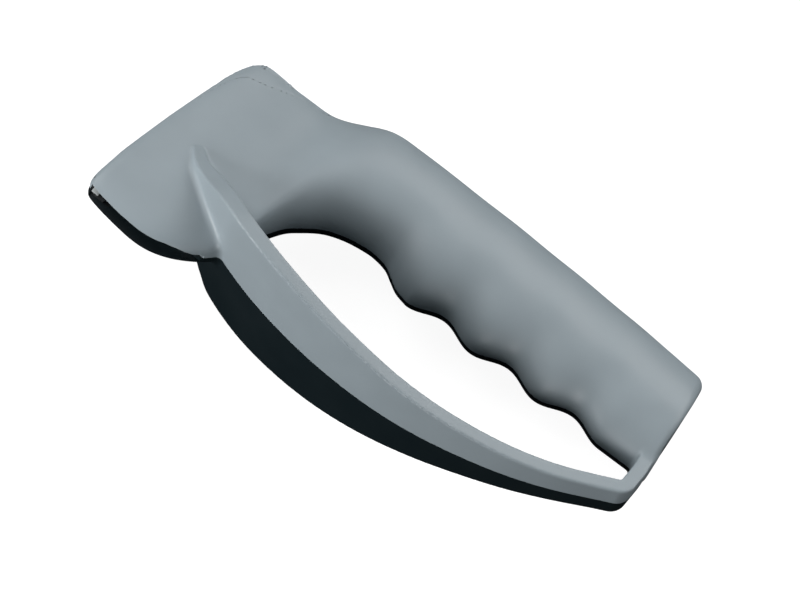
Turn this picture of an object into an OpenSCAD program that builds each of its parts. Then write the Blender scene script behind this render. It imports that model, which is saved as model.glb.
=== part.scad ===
// Hand-held knife sharpener: two moulded half shells with a finger guard, and a pair of
// crossed hard metal bars behind a knife slot at the tip of the head.
// Design frame: X runs from the head's front to the tail, Y rises to the palm side,
// Z points out of the front shell, and the shells part at Z = 0.

/* [Head] */
// Depth of the head's lower edge below the finger bumps
head_drop = 32.3; // [31:0.1:34]
// Height of the head's top edge above the finger bumps
head_rise = 29.8; // [27:0.1:32]
// How far the top edge rises towards the front
brow_rise = 2.6; // [1:0.1:4]
// Thickness of the head halfway up
head_t = 12.6; // [11.6:0.1:15]
// Thickness of the head along its front and lower edges
edge_t = 10; // [9.4:0.1:11]
// How far the lower edge rises towards the front tip
nose_rise = 1.9; // [1.4:0.1:2.6]
// How far the front edge sweeps back from bottom to top
front_sweep = 9.6; // [6:0.1:12]
// Bow of the front edge
front_bow = 0.4; // [0:0.1:1.5]
// Corner radius at the top front of the head
head_r = 6; // [5:0.5:9]
// Corner radius at the lower front tip
nose_r = 3.1; // [2.4:0.1:4]
// Rounding of the front and tail edges
face_r = 1.4; // [0.8:0.1:1.6]

/* [Handle] */
// Length from the head's front edge to the outer face of the tail
overall_l = 153.8; // [146:0.2:165]
// Height of the palm side above the finger bumps, behind the neck
handle_h = 37.4; // [35:0.1:42]
// Height of the palm side above the finger bumps, at the tail
tail_h = 33.6; // [32:0.1:38]
// Thickness of the handle
handle_t = 22.4; // [20:0.1:26]
// Thickness over the forefinger groove
neck_t = 23.8; // [22:0.1:27]
// How far the tail's face leans forward at the palm side
tail_sweep = 3.4; // [1:0.1:5]
// Corner radius at the tail's palm side
tail_r = 3.2; // [2:0.1:5]
// Distance from the head's front edge to the start of the rise to the handle
neck_x = 32.6; // [29:0.2:34]
// Length of that rise
neck_l = 18.5; // [15:0.5:22]

/* [Fingers] */
// Distance from the head's front edge to the front of the finger opening
opening_x = 41.6; // [39:0.2:43]
// Distance from the head's front edge to the first finger bump
bump_x = 79.7; // [77:0.2:82]
// Spacing of the finger grooves
groove_pitch = 20; // [19:0.1:21]
// Depth of a finger groove
groove_d = 3.1; // [2:0.1:4.5]
// Height of the forefinger groove above the finger bumps
index_h = 6; // [4:0.1:8]

/* [Guard] */
// Depth of the guard's lowest point below the finger bumps
guard_drop = 29.7; // [28:0.1:31]
// Greatest width of the guard across both shells
guard_w = 41; // [36:0.5:44]
// Thickness of the guard's wall
guard_t = 4; // [3:0.1:4.5]
// Thickness of the guard where it leaves the head
root_t = 5; // [4:0.1:5.6]
// Arch of the guard's outer face
guard_crown = 0.3; // [0.1:0.1:1.2]
// Width of the strut that joins the guard to the tail
strut_w = 11.6; // [9:0.2:14]
// Outer radius of the bend from the guard into the strut
bend_r = 5; // [4.6:0.1:6]

/* [Slot and blades] */
// Width of the knife slot
slot_w = 3; // [2.4:0.1:3.4]
// Width of the slot's mouth between its thin lips
mouth_w = 6.2; // [5:0.1:6.8]
// Distance from the head's front edge to the point where the lips meet
mouth_l = 33.4; // [31:0.2:35]
// Slope of the slot, in degrees, that leads the knife past the guard
slot_tilt = 2.2; // [1.6:0.1:3]
// Height of the bottom of the V above the head's lower edge
vee_h = 7.5; // [7:0.1:8.4]
// Angle of each bar to the knife, in degrees
vee_a = 20; // [15:1:22]
// Width of a hard metal bar
bar_w = 1.8; // [1.5:0.1:2]
// Thickness of a hard metal bar
bar_t = 2; // [1.6:0.1:2.2]
// Length of a hard metal bar
bar_l = 9.4; // [9:0.1:10]
// Wall of the shells in front of the blade holder
tip_wall = 0.8; // [0.6:0.1:1.2]
// Width of the blade holder
holder_w = 6; // [5.6:0.1:6.4]
// Thickness of the clamp plate
plate_t = 1; // [0.8:0.1:1.4]
// Diameter of the clamp screw
clamp_d = 1.9; // [1.6:0.1:2.2]

/* [Shells and screws] */
// Wall thickness of the shells
wall = 2.2; // [1.6:0.1:2.6]
// Depth of the lip that locks the shells together
lip_h = 1; // [0.6:0.1:1.4]
// Diameter of the screws that join the shells
screw_d = 2.6; // [2.2:0.1:3]
// Diameter of the screw heads
screw_head_d = 4.8; // [4.2:0.1:5.4]
// Diameter of the bosses that take the screws
boss_d = 6.4; // [5.8:0.1:7.2]
// Clearance of one piece in another
fit = 0.1; // [0.05:0.01:0.2]

/* [Hidden] */
$fn = 48;

// Overrun of every cut
over = 1;
// Points across a half section, steps between two rows of a table, and finger grooves
ring = 12;
steps = 2;
groove_steps = 6;
guard_steps = 3;
grooves = 3;
// Thickness of the lip along the seam, and of the ribs across the handle
lip_t = wall / 2;
rib_t = 1.6;

// Head and neck stations: lower point as shares of opening_x and head_drop, upper point as
// a share of opening_x, and how far the section has turned from the head's to the handle's
neck_shares = [
    [0.14, -0.957, 0.42, 0.03], [0.29, -0.986, 0.49, 0.07], [0.42, -1.000, 0.56, 0.11],
    [0.54, -0.981, 0.62, 0.15], [0.66, -0.921, 0.69, 0.20], [0.77, -0.828, 0.77, 0.26],
    [0.86, -0.718, 0.85, 0.35], [0.92, -0.574, 0.93, 0.48], [0.965, -0.388, 1.02, 0.62]];
// Forefinger groove: lower point as shares of the way from opening_x to bump_x and of
// index_h, upper point as a share of that way, and the same turn
index_shares = [
    [0.055, -0.830, 0.11, 0.74], [0.145, -0.200, 0.19, 0.84], [0.265, 0.420, 0.29, 0.92],
    [0.405, 0.800, 0.41, 0.97], [0.550, 0.985, 0.55, 0.99], [0.640, 1.000, 0.64, 1.00],
    [0.740, 0.870, 0.74, 1.00], [0.820, 0.560, 0.82, 1.00], [0.900, 0.260, 0.90, 1.00],
    [1.000, 0.103, 1.00, 1.00]];
// Outer line of the guard: shares of overall_l, of guard_drop and of half of guard_w
guard_shares = [
    [0.082, -0.120, 0.225], [0.091, -0.172, 0.287], [0.117, -0.322, 0.405], [0.150, -0.445, 0.565],
    [0.182, -0.556, 0.765], [0.215, -0.658, 0.900], [0.247, -0.742, 0.970],
    [0.311, -0.850, 1.000], [0.376, -0.925, 0.980], [0.452, -0.980, 0.915],
    [0.530, -1.000, 0.820], [0.607, -0.983, 0.695], [0.685, -0.922, 0.570],
    [0.763, -0.820, 0.455], [0.831, -0.702, 0.375], [0.895, -0.556, 0.315],
    [0.955, -0.388, 0.285]];
// Rows over which the guard thins from its root, and the slot's mouth: places and half widths
thin_share = 0.62;
mouth_shares = [[0, 0.9], [0.40, 1], [0.74, 0.99], [0.85, 0.86], [0.95, 0.53], [1, 0]];
// Height of the bend into the strut, and the strut's stations, as shares of guard_drop
bend_share = -0.16;
strut_shares = [0, 0.13, 0.26];
// Squareness of the section in the head's lower and upper half, and in the handle
head_low_share = 4.5;
head_top_share = 3;
grip_low_share = 1.85;
grip_top_share = 2.1;
// Rounding of the guard's rim as a share of its wall, and points across its outer face
rim_share = 0.12;
crown_shares = [0, 0.45, 0.75, 1];
// Curve of the front edge, and how far the first and last finger bumps stand up
front_share = 1.4;
bump_shares = [0.2, 0.52];

// Screws through the handle and the head: shares of overall_l and of handle_h
handle_screw_shares = [[0.385, 0.56], [0.647, 0.53], [0.895, 0.50]];
head_screw_shares = [[0.150, 0.42], [0.135, -0.42]];
// Ribs across the handle, as shares of overall_l
rib_shares = [0.517, 0.777];

// Blade parts: the V's lowest point, and how far each bar reaches below it
vee_y = vee_h - head_drop;
bar_x = 2 * tip_wall;
bar_down = 3.8;
// Height of the slot's mouth above the head's lowest point
mouth_h = vee_h;
// Gap between the slot's floor and the knife's edge
slot_gap = 0.7;
// The blade holder's lower face above the head's lower edge, its height, and its length
holder_lift = 3.7;
holder_h = 14.2;
holder_y = holder_lift - head_drop;
holder_l = 2 * bar_t + tip_wall + plate_t;
// Clamp plate behind the bars, and the clamp screw above them
plate_w = 5;
plate_lift = 1.2;
plate_x = bar_x + 2 * bar_t;
plate_y = vee_y + plate_lift;
clamp_in = 2.2;
clamp_y = holder_y + holder_h - clamp_in;
clamp_head_d = 3.6;
clamp_head_h = 1.2;
// Shell screws: head height, cross recess, seat below the rear face, and grip in the front boss
screw_head_h = 1.8;
cross_w = 0.8;
seat_depth = 2.6;
screw_tip = 1.2;
handle_grip = 7;
head_grip = 3.6;

function mix(a, b, t) = a + (b - a) * t;
function smooth(t) = let (c = min(1, max(0, t))) c * c * (3 - 2 * c);
function unit(v) = v / norm(v);
function left_of(v) = [-v[1], v[0]];

// One point of the smooth curve through the rows of a table
function curve(rows, u) = let (
    n = len(rows) - 1, i = min(n - 1, floor(u)), t = u - i,
    a = rows[max(0, i - 1)], b = rows[i], c = rows[i + 1], d = rows[min(n, i + 2)])
    (2 * b + (c - a) * t + (2 * a - 5 * b + 4 * c - d) * t * t
     + (3 * b - a - 3 * c + d) * t * t * t) / 2;
// One point on the straight lines between the rows
function between(rows, u) = let (i = max(0, min(len(rows) - 2, floor(u))))
    mix(rows[i], rows[i + 1], u - i);

// Outlines of the body at the parting plane
function front_x(y) = let (low = nose_rise + nose_r - head_drop)
    front_sweep * pow(max(0, y - low) / (head_rise - low), front_share);
function tail_x(y) = overall_l - tail_sweep * y / tail_h;
function brow_y(x) = head_rise + brow_rise * pow(max(0, 1 - x / neck_x), 2);
function back_y(x) = let (start = neck_x + neck_l)
    handle_h - (handle_h - tail_h) * pow(max(0, x - start) / (overall_l - start), 2);
function palm_y(x) = mix(brow_y(x), back_y(x), smooth((x - neck_x) / neck_l));
function finger_y(x) = let (way = grooves * groove_pitch, c = min(x - bump_x, way))
    groove_d * (mix(bump_shares[0], bump_shares[1], (x - bump_x) / way)
                + (1 - cos(360 * c / groove_pitch)) / 2);

// A station row holds the lower point, the upper point, the half thickness, the turn from the
// head's section to the handle's, the bow of the front edge, and the share by which the lower
// edge is thinner than the middle
function slim(half) = max(0, 1 - edge_t / 2 / half);
function row(low, top, half, turn, bow = 0) =
    [low[0], low[1], top[0], top[1], half, turn, bow, slim(half)];
function body_half(turn) = mix(mix(edge_t, head_t, smooth(turn * 5)), neck_t, smooth(turn)) / 2;

nose_rows = [for (a = [0, 30, 60]) let (
    ly = nose_rise - head_drop + nose_r * (1 - sin(a)),
    ty = brow_y(front_sweep) - head_r * (1 - sin(a)))
    row([front_x(ly) + nose_r * (1 - cos(a)), ly], [front_x(ty) + head_r * (1 - cos(a)), ty],
        edge_t / 2 - face_r * (1 - sin(a)), 0, front_bow * (1 - a / 90))];
neck_rows = [for (s = neck_shares) let (tx = s[2] * opening_x)
    row([s[0] * opening_x, s[1] * head_drop], [tx, palm_y(tx)], body_half(s[3]), s[3])];
index_rows = [for (s = index_shares) let (way = bump_x - opening_x, tx = opening_x + s[2] * way)
    row([opening_x + s[0] * way, s[1] * index_h], [tx, palm_y(tx)], body_half(s[3]), s[3])];
front_rows = concat(nose_rows, neck_rows, index_rows);
grip_rows = [for (i = [1 : grooves * groove_steps]) let (x = bump_x + i * groove_pitch / groove_steps)
    row([x, finger_y(x)], [x, palm_y(x)],
        mix(neck_t, handle_t, smooth((x - bump_x) / groove_pitch / grooves)) / 2, 1)];
tail_rows = [for (a = [90, 60, 30, 0]) let (
    c = 1 - cos(90 - a), e = 1 - sin(a), ly = finger_y(overall_l) + face_r * e,
    ty = palm_y(overall_l) - tail_r * e, half = handle_t / 2 - face_r * e)
    row([tail_x(ly) - face_r * (1 - cos(a)), ly], [tail_x(ty) - tail_r * (1 - cos(a)), ty], half, 1)];
body_rows = concat(
    [for (i = [0 : (len(front_rows) - 1) * steps]) curve(front_rows, i / steps)],
    grip_rows, tail_rows);
body_last = len(body_rows) - 1;

// One half section of a row, from the lower edge round the cheek to the upper edge
function section(r, flat = false) = [for (j = [0 : ring]) let (
    a = 180 * j / ring - 90, low = a < 0, turn = smooth(r[5]),
    n = low ? mix(head_low_share, grip_low_share, turn) : mix(head_top_share, grip_top_share, turn),
    s = sign(a) * pow(abs(sin(a)), 2 / n),
    thin = low ? r[7] * (1 - turn) * pow(-s, 1.5) : 0,
    p = mix([r[0], r[1]], [r[2], r[3]], (1 + s) / 2) - [r[6] * (1 - s * s), 0])
    [p[0], p[1], flat || j == 0 || j == ring ? 0 : r[4] * (1 - thin) * pow(cos(a), 2 / n)]];
// All sections of a list of rows, with flat ones at both ends that lie in the parting plane
function sections(rows) = concat([section(rows[0], true)], [for (r = rows) section(r)],
    [section(rows[len(rows) - 1], true)]);

// Floor of the knife slot, which slopes so that the knife passes under the guard
function slot_y(x) = vee_y + slot_gap - (x - bar_x) * tan(slot_tilt);

// The cavity's row at a place u along the body, set in by the wall or another inset
function inner_row(u, inset) = let (
    r = between(body_rows, u), way = between(body_rows, u + 0.5) - between(body_rows, u - 0.5),
    low = [r[0], r[1]] + inset * left_of(unit([way[0], way[1]])),
    top = [r[2], r[3]] - inset * left_of(unit([way[2], way[3]])),
    lift = low[0] < opening_x ? max(0, slot_y(low[0]) + inset - low[1]) : 0)
    [low[0], low[1] + lift, top[0], top[1], r[4] - inset, r[5], r[6], r[7]];
// The cavity starts and ends a few rows inside the body
cavity_start = 5.6;
cavity_back = 2.6;
cavity_end = body_last - cavity_back;
function inner_rows(inset) = [for (i = [0 : body_last])
    inner_row(mix(cavity_start, cavity_end, i / body_last), inset)];

// Triangles of a quad, without those that have no width
function facet(p, f) = p[f[0]] == p[f[1]] || p[f[1]] == p[f[2]] || p[f[0]] == p[f[2]] ? [] : [f];
function quad(p, a, b, c, d) = concat(facet(p, [a, b, c]), facet(p, [a, c, d]));
function flatten(lists) = [for (list = lists) each list];

// A skin of sections outside, the cavity's sections inside, and the rim between them
module hollow_half(outer, inner) {
    n = len(outer);
    m = ring + 1;
    points = concat(flatten(outer), flatten(inner));
    edge = concat([for (i = [0 : n - 1]) i * m], [for (j = [1 : ring]) (n - 1) * m + j],
                  [for (i = [n - 2 : -1 : 0]) i * m + ring], [for (j = [ring - 1 : -1 : 0]) j]);
    inside = n * m;
    faces = concat(
        [for (i = [0 : n - 2], j = [0 : ring - 1]) let (k = i * m + j)
            each quad(points, k, k + 1, k + m + 1, k + m)],
        [for (i = [0 : n - 2], j = [0 : ring - 1]) let (k = inside + i * m + j)
            each quad(points, k, k + m, k + m + 1, k + 1)],
        [for (i = [0 : len(edge) - 2])
            each quad(points, edge[i], edge[i + 1], inside + edge[i + 1], inside + edge[i])]);
    polyhedron(points, faces, convexity = 8);
}

// Guard: rows of outer line and half width, then the bend and the strut
band_rows = [for (s = guard_shares) [s[0] * overall_l, s[1] * guard_drop, s[2] * guard_w / 2]];
guard_rows = concat(
    [for (i = [0 : (len(band_rows) - 1) * guard_steps]) curve(band_rows, i / guard_steps)],
    [for (a = [-60, -40, -20]) [overall_l - bend_r * (1 - cos(a)),
        bend_share * guard_drop + bend_r * sin(a), strut_w / 2]],
    [for (s = strut_shares) [tail_x(s * guard_drop), s * guard_drop, strut_w / 2]]);
guard_last = len(guard_rows) - 1;

// Half section of the guard: depth behind the outer line and height over the parting plane
function guard_profile(half, t) = let (r = rim_share * guard_t, c = r * (1 - cos(45)))
    concat([for (s = crown_shares) let (z = s * (half - r)) [guard_crown * pow(z / half, 2), z]],
           [[guard_crown + c, half - c], [guard_crown + r, half], [t - r, half],
            [t - c, half - c], [t, half - r], [t, 0]]);
function guard_wall(i) = mix(root_t, guard_t, smooth(i / guard_last / thin_share));
guard_grid = [for (i = [0 : guard_last]) let (
    r = guard_rows[i], way = guard_rows[min(guard_last, i + 1)] - guard_rows[max(0, i - 1)],
    inward = left_of(unit([way[0], way[1]])))
    [for (q = guard_profile(r[2], guard_wall(i)))
        [r[0] + q[0] * inward[0], r[1] + q[0] * inward[1], q[1]]]];

module guard_half() {
    m = len(guard_grid[0]);
    points = flatten(guard_grid);
    faces = concat(
        [for (i = [0 : guard_last - 1], j = [0 : m - 1]) let (k = i * m, l = (j + 1) % m)
            each quad(points, k + j, k + l, k + m + l, k + m + j)],
        [[for (j = [m - 1 : -1 : 0]) j]], [[for (j = [0 : m - 1]) guard_last * m + j]]);
    polyhedron(points, faces, convexity = 4);
}

// Lip along the seam: a flat ring between two insets of the outline
function seam(inset) = let (rows = inner_rows(inset))
    concat([for (r = rows) [r[0], r[1]]], [for (i = [body_last : -1 : 0]) [rows[i][2], rows[i][3]]]);
module lip(grow) {
    difference() {
        polygon(seam(wall - lip_t - grow));
        polygon(seam(wall - fit + 2 * grow));
    }
}

// Places of the screws
function screw_at(s) = [s[0] * overall_l, s[1] * handle_h, 0];
module at_each(shares) {
    for (s = shares) translate(screw_at(s)) children();
}
handle_boss_h = (handle_t - wall) / 2;
head_boss_h = edge_t / 2;

// A rib across the handle, clear of the lip, with an opening in its middle
module rib(x) {
    mid = (finger_y(x) + palm_y(x)) / 2;
    r = row([x, finger_y(x) + lip_t], [x, palm_y(x) - lip_t], handle_t / 2 - lip_t, 1);
    translate([x + rib_t / 2, 0, 0]) rotate([0, -90, 0]) linear_extrude(rib_t) difference() {
        polygon([for (p = section(r)) if (p[2] > lip_h + fit) [p[2], p[1]]]);
        translate([0, mid]) circle(handle_t / 4);
    }
}

// The knife slot, open at the front and along the lower edge, and its mouth, which widens
// from the slot towards two thin lips that meet behind it
module slot_cut() {
    translate([bar_x, vee_y + slot_gap, -slot_w / 2]) rotate(-slot_tilt)
        translate([-bar_x - over, -head_drop, 0]) cube([opening_x, head_drop, slot_w]);
    side = [for (s = mouth_shares) [mix(bar_x, mouth_l, s[0]), s[1] * mouth_w / 2]];
    last = len(side) - 1;
    translate([0, -head_drop, 0]) rotate([-90, 0, 0])
        linear_extrude(mouth_h, scale = [1, slot_w / mouth_w], slices = 1) polygon(concat(
            side, [for (i = [last : -1 : 0]) [side[i][0], -side[i][1]]]));
}

// Side profile of the blade holder, which follows the front edge
module holder_profile(gap) {
    back = bar_x + holder_l + gap;
    top = holder_y + holder_h + gap;
    front = tip_wall - gap;
    polygon([
        [front, holder_y - gap + nose_r / 2], [front + nose_r / 2, holder_y - gap],
        [back, holder_y - gap], [back, top],
        [front + front_x(top), top], [front + front_x(vee_y), vee_y]]);
}

// Walls of one half with its half of the guard, open towards the parting plane
module half_walls() {
    hollow_half(sections(body_rows), sections(inner_rows(wall)));
    guard_half();
}

// What both halves have inside: bosses and ribs, less the slot and the holder's pocket
module fitted_half() {
    difference() {
        union() {
            resize([overall_l, 0, 0]) children();
            at_each(handle_screw_shares) cylinder(d = boss_d, h = handle_boss_h);
            at_each(head_screw_shares) cylinder(d = boss_d, h = head_boss_h);
            for (s = rib_shares) rib(s * overall_l);
        }
        slot_cut();
        translate([0, 0, -over]) linear_extrude(over + holder_w / 2 + fit) holder_profile(fit);
    }
}

module front_half() {
    color([0.573, 0.616, 0.639]) difference() {
        fitted_half() union() {
            half_walls();
            translate([0, 0, -lip_h]) linear_extrude(2 * lip_h) lip(0);
        }
        translate([0, 0, -lip_h - over]) linear_extrude(lip_h + over + fit) holder_profile(fit);
        at_each(handle_screw_shares)
            translate([0, 0, -over]) cylinder(d = screw_d + fit, h = handle_grip + fit + over);
        at_each(head_screw_shares)
            translate([0, 0, -over]) cylinder(d = screw_d + fit, h = head_grip + fit + over);
    }
}

module rear_half() {
    color([0.05, 0.06, 0.065]) mirror([0, 0, 1]) difference() {
        fitted_half() difference() {
            half_walls();
            translate([0, 0, -over]) linear_extrude(lip_h + fit + over) lip(fit);
        }
        at_each(handle_screw_shares) screw_space(handle_t / 2 - seat_depth);
        at_each(head_screw_shares) screw_space(head_t / 2 - seat_depth);
        mirror([0, 0, 1]) front_bar(fit);
    }
}

// Clearance hole and counterbore of a screw whose head seats at the given depth
module screw_space(seat) {
    translate([0, 0, -over]) cylinder(d = screw_d + 2 * fit, h = seat + 2 * over);
    translate([0, 0, seat]) cylinder(d = screw_head_d + 2 * fit, h = handle_t);
}

// A screw from its seat in the rear shell to its grip in the front boss
module shell_screw(seat, grip) {
    difference() {
        union() {
            translate([0, 0, -seat - screw_head_h]) cylinder(d = screw_head_d, h = screw_head_h);
            translate([0, 0, -seat]) cylinder(d = screw_d, h = seat + grip - screw_tip);
            translate([0, 0, grip - screw_tip]) cylinder(d1 = screw_d, d2 = screw_d / 2, h = screw_tip);
        }
        translate([0, 0, -seat - screw_head_h]) for (turn = [0, 90])
            rotate(turn) cube([screw_d, cross_w, 2 * cross_w], center = true);
    }
}

// A hard metal bar whose edge passes through the bottom of the V
module bar(grow = 0) {
    translate([-grow, vee_y, 0]) rotate([-vee_a, 0, 0]) translate([0, -bar_down - grow, -grow])
        cube([bar_t + 2 * grow, bar_l + 2 * grow, bar_w + 2 * grow]);
}
module front_bar(grow = 0) { translate([bar_x, 0, 0]) mirror([0, 0, 1]) bar(grow); }
module rear_bar(grow = 0) { translate([bar_x + bar_t, 0, 0]) bar(grow); }

// Clamp plate behind the bars, and its screw above them
module plate_blank(gap) {
    translate([plate_x - gap, plate_y - gap, -plate_w / 2 - gap])
        cube([plate_t + 2 * gap, holder_y + holder_h - plate_y + 2 * gap, plate_w + 2 * gap]);
}
// Turns a round part from +Z to the clamp screw's line, from a place x along the object
module clamp_line(x) {
    translate([x, clamp_y, 0]) rotate([0, 90, 0]) children();
}

module holder_body() {
    color([0.16, 0.17, 0.18]) difference() {
        translate([0, 0, -holder_w / 2]) linear_extrude(holder_w) holder_profile(0);
        slot_cut();
        front_bar(fit / 2);
        rear_bar(fit / 2);
        plate_blank(fit / 2);
        translate([plate_x - fit / 2, holder_y - over, -plate_w / 2])
            cube([holder_l + over, holder_h + 2 * over, plate_w]);
        clamp_line(0) cylinder(d = clamp_d + fit, h = holder_l + plate_x);
    }
}
module clamp_plate_body() {
    color([0.72, 0.73, 0.74]) difference() {
        plate_blank(0);
        clamp_line(0) cylinder(d = clamp_d + 2 * fit, h = plate_x + plate_t + over);
    }
}
module clamp_screw_body() {
    clamp_l = plate_t + 2 * bar_t - tip_wall / 2;
    color([0.6, 0.61, 0.62]) clamp_line(plate_x + plate_t) difference() {
        union() {
            cylinder(d = clamp_head_d, h = clamp_head_h);
            translate([0, 0, -clamp_l]) cylinder(d = clamp_d, h = clamp_l);
        }
        translate([0, 0, clamp_head_h]) cube([cross_w, clamp_head_d + over, cross_w], center = true);
    }
}

// The object lies on its rear side, on the guard's rim and the handle's cheek. The pitch is the
// slope of the cheek halfway along the grip; the lean is found by halving a range of angles
pitch_a = atan(1.5 * (neck_t - handle_t) / 2 / (grooves * groove_pitch));
function laid(p, lean) = let (
    y = p[1] * cos(lean) + p[2] * sin(lean), z = p[2] * cos(lean) - p[1] * sin(lean))
    [p[0] * cos(pitch_a) + z * sin(pitch_a), y, z * cos(pitch_a) - p[0] * sin(pitch_a)];
body_points = flatten(sections(body_rows));
guard_points = flatten(guard_grid);
function lowest(points, lean) = min([for (p = points) laid([p[0], p[1], -p[2]], lean)[2]]);
function level(a, b, turns) = let (m = (a + b) / 2) turns == 0 ? m
    : lowest(guard_points, m) < lowest(body_points, m) ? level(m, b, turns - 1) : level(a, m, turns - 1);
lean_a = level(0, 45, 16);
laid_points = [for (p = concat(body_points, guard_points))
    each [laid(p, lean_a), laid([p[0], p[1], -p[2]], lean_a)]];
function low(k) = min([for (p = laid_points) p[k]]);
function high(k) = max([for (p = laid_points) p[k]]);
module laid_down() {
    translate([-(low(0) + high(0)) / 2, -(low(1) + high(1)) / 2, -low(2)])
        rotate([-lean_a, pitch_a, 0]) children();
}

module front_shell() { laid_down() front_half(); }
module rear_shell() { laid_down() rear_half(); }
module blade_holder() { laid_down() holder_body(); }
module front_carbide() { laid_down() color([0.66, 0.68, 0.69]) front_bar(); }
module rear_carbide() { laid_down() color([0.66, 0.68, 0.69]) rear_bar(); }
module clamp_plate() { laid_down() clamp_plate_body(); }
module clamp_screw() { laid_down() clamp_screw_body(); }
module head_screws() {
    laid_down() color([0.3, 0.31, 0.32]) at_each(head_screw_shares)
        shell_screw(head_t / 2 - seat_depth, head_grip);
}
module handle_screws() {
    laid_down() color([0.3, 0.31, 0.32]) at_each(handle_screw_shares)
        shell_screw(handle_t / 2 - seat_depth, handle_grip);
}

front_shell();
rear_shell();
blade_holder();
front_carbide();
rear_carbide();
clamp_plate();
clamp_screw();
head_screws();
handle_screws();
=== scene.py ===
import math
import bmesh
import bpy
import numpy as np
from bpy.props import FloatProperty, FloatVectorProperty, IntProperty, PointerProperty
from mathutils import Matrix, Vector
from mathutils.bvhtree import BVHTree


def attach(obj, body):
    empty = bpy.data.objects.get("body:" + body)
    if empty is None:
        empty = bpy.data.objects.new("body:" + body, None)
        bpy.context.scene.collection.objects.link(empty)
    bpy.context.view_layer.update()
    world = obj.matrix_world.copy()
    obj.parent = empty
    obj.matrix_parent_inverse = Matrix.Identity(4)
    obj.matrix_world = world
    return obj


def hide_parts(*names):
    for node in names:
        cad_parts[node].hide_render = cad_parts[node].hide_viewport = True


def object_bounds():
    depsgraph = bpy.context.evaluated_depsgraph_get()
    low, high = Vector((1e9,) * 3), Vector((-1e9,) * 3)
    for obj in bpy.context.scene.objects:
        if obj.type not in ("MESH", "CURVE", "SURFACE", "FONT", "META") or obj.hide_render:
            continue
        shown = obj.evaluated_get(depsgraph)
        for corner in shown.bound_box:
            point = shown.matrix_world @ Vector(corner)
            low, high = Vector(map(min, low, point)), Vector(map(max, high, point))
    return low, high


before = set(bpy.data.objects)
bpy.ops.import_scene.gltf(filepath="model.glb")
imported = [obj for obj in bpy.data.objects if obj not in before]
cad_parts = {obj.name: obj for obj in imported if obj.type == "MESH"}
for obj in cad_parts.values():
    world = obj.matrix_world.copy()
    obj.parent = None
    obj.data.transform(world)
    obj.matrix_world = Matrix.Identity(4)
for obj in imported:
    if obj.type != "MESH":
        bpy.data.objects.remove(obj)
CAD_BOX = [list(corner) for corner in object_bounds()]

bl_info = {
    "name": "Pull through knife sharpener",
    "version": (1, 0, 0),
    "blender": (4, 5, 0),
    "location": "3D View > Sidebar > Sharpener",
    "description": "Moulded half shells, hard metal bars, screws and studio of a hand-held knife sharpener",
    "category": "Object",
}

MM = 0.001

# Sizes that the source gives the solids, in millimetres and degrees
HEAD_DROP, HEAD_RISE, BROW_RISE = 32.3, 29.8, 2.6
HEAD_T, EDGE_T, NOSE_RISE = 12.6, 10.0, 1.9
FRONT_SWEEP, FRONT_BOW, FRONT_SHARE = 9.6, 0.4, 1.4
HEAD_R, NOSE_R, FACE_R = 6.0, 3.1, 1.4
OVERALL_L, HANDLE_H, TAIL_H = 153.8, 37.4, 33.6
HANDLE_T, NECK_T = 22.4, 23.8
TAIL_SWEEP, TAIL_R, NECK_X, NECK_L = 3.4, 3.2, 32.6, 18.5
OPENING_X, BUMP_X, PITCH, GROOVE_D, INDEX_H = 41.6, 79.7, 20.0, 3.1, 6.0
GROOVES, BUMP_SHARES = 3, (0.2, 0.52)
GUARD_DROP, GUARD_W, GUARD_T, ROOT_T, GUARD_CROWN = 29.7, 41.0, 4.0, 5.0, 0.3
STRUT_W, BEND_R, RIM_SHARE, BEND_SHARE, THIN_SHARE = 11.6, 5.0, 0.12, -0.16, 0.62
SLOT_W, SLOT_TILT, VEE_H, VEE_A, SLOT_GAP = 3.0, 2.2, 7.5, 20.0, 0.7
MOUTH_W, MOUTH_L = 6.2, 33.4
# How much wider the mouth is on the grey side, by place along the head
MOUTH_EASE = [(1.6, 1.0), (5.8, 0.7), (12, 0.35), (18, 0.35), (22.5, 0.5), (27.5, 1.05), (30, 1.0),
              (31.8, 0.9), (33.4, 2.1), (38.6, 1.7)]
# How far the mouth's tool stands out under the head, and what it adds on the black side
MOUTH_BEYOND, MOUTH_LEAST = 0.5, 0.02
# The wing's thickness at its tip, and the way over which it grows to the root's
TIP_T, TIP_REACH = 3.2, 12.0
TIP_WALL, BAR_T, BAR_W, BAR_L, BAR_DOWN = 0.8, 2.0, 1.8, 9.4, 3.8
PLATE_T, HOLDER_W, HOLDER_LIFT, HOLDER_H = 1.0, 6.0, 3.7, 14.2
WALL, FIT = 2.2, 0.1
SCREW_D, SCREW_HEAD_D, SCREW_HEAD_H, BOSS_D = 2.6, 4.8, 1.8, 6.4
SEAT_DEPTH, SCREW_TIP, HANDLE_GRIP, HEAD_GRIP = 2.6, 1.2, 7.0, 3.6
# Finish of a screw: rounding and arris of its head, the small hole on its axis, and where the thread starts
HEAD_ROUND, HEAD_ARRIS, AXIS_R, THREAD_LEAD = 0.7, 0.15, 0.05, 1.5
RECESS_ABOVE, BAR_ARRIS = 0.8, 0.12
CAVITY_START, CAVITY_END = 5.6, 5.2
LOW_HEAD, TOP_HEAD, LOW_GRIP, TOP_GRIP = 4.5, 3.0, 1.85, 2.1
VEE_Y = VEE_H - HEAD_DROP
BAR_X = 2 * TIP_WALL
HOLDER_Y = HOLDER_LIFT - HEAD_DROP
HOLDER_L = 2 * BAR_T + TIP_WALL + PLATE_T
HANDLE_SEAT, HEAD_SEAT = HANDLE_T / 2 - SEAT_DEPTH, HEAD_T / 2 - SEAT_DEPTH

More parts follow.
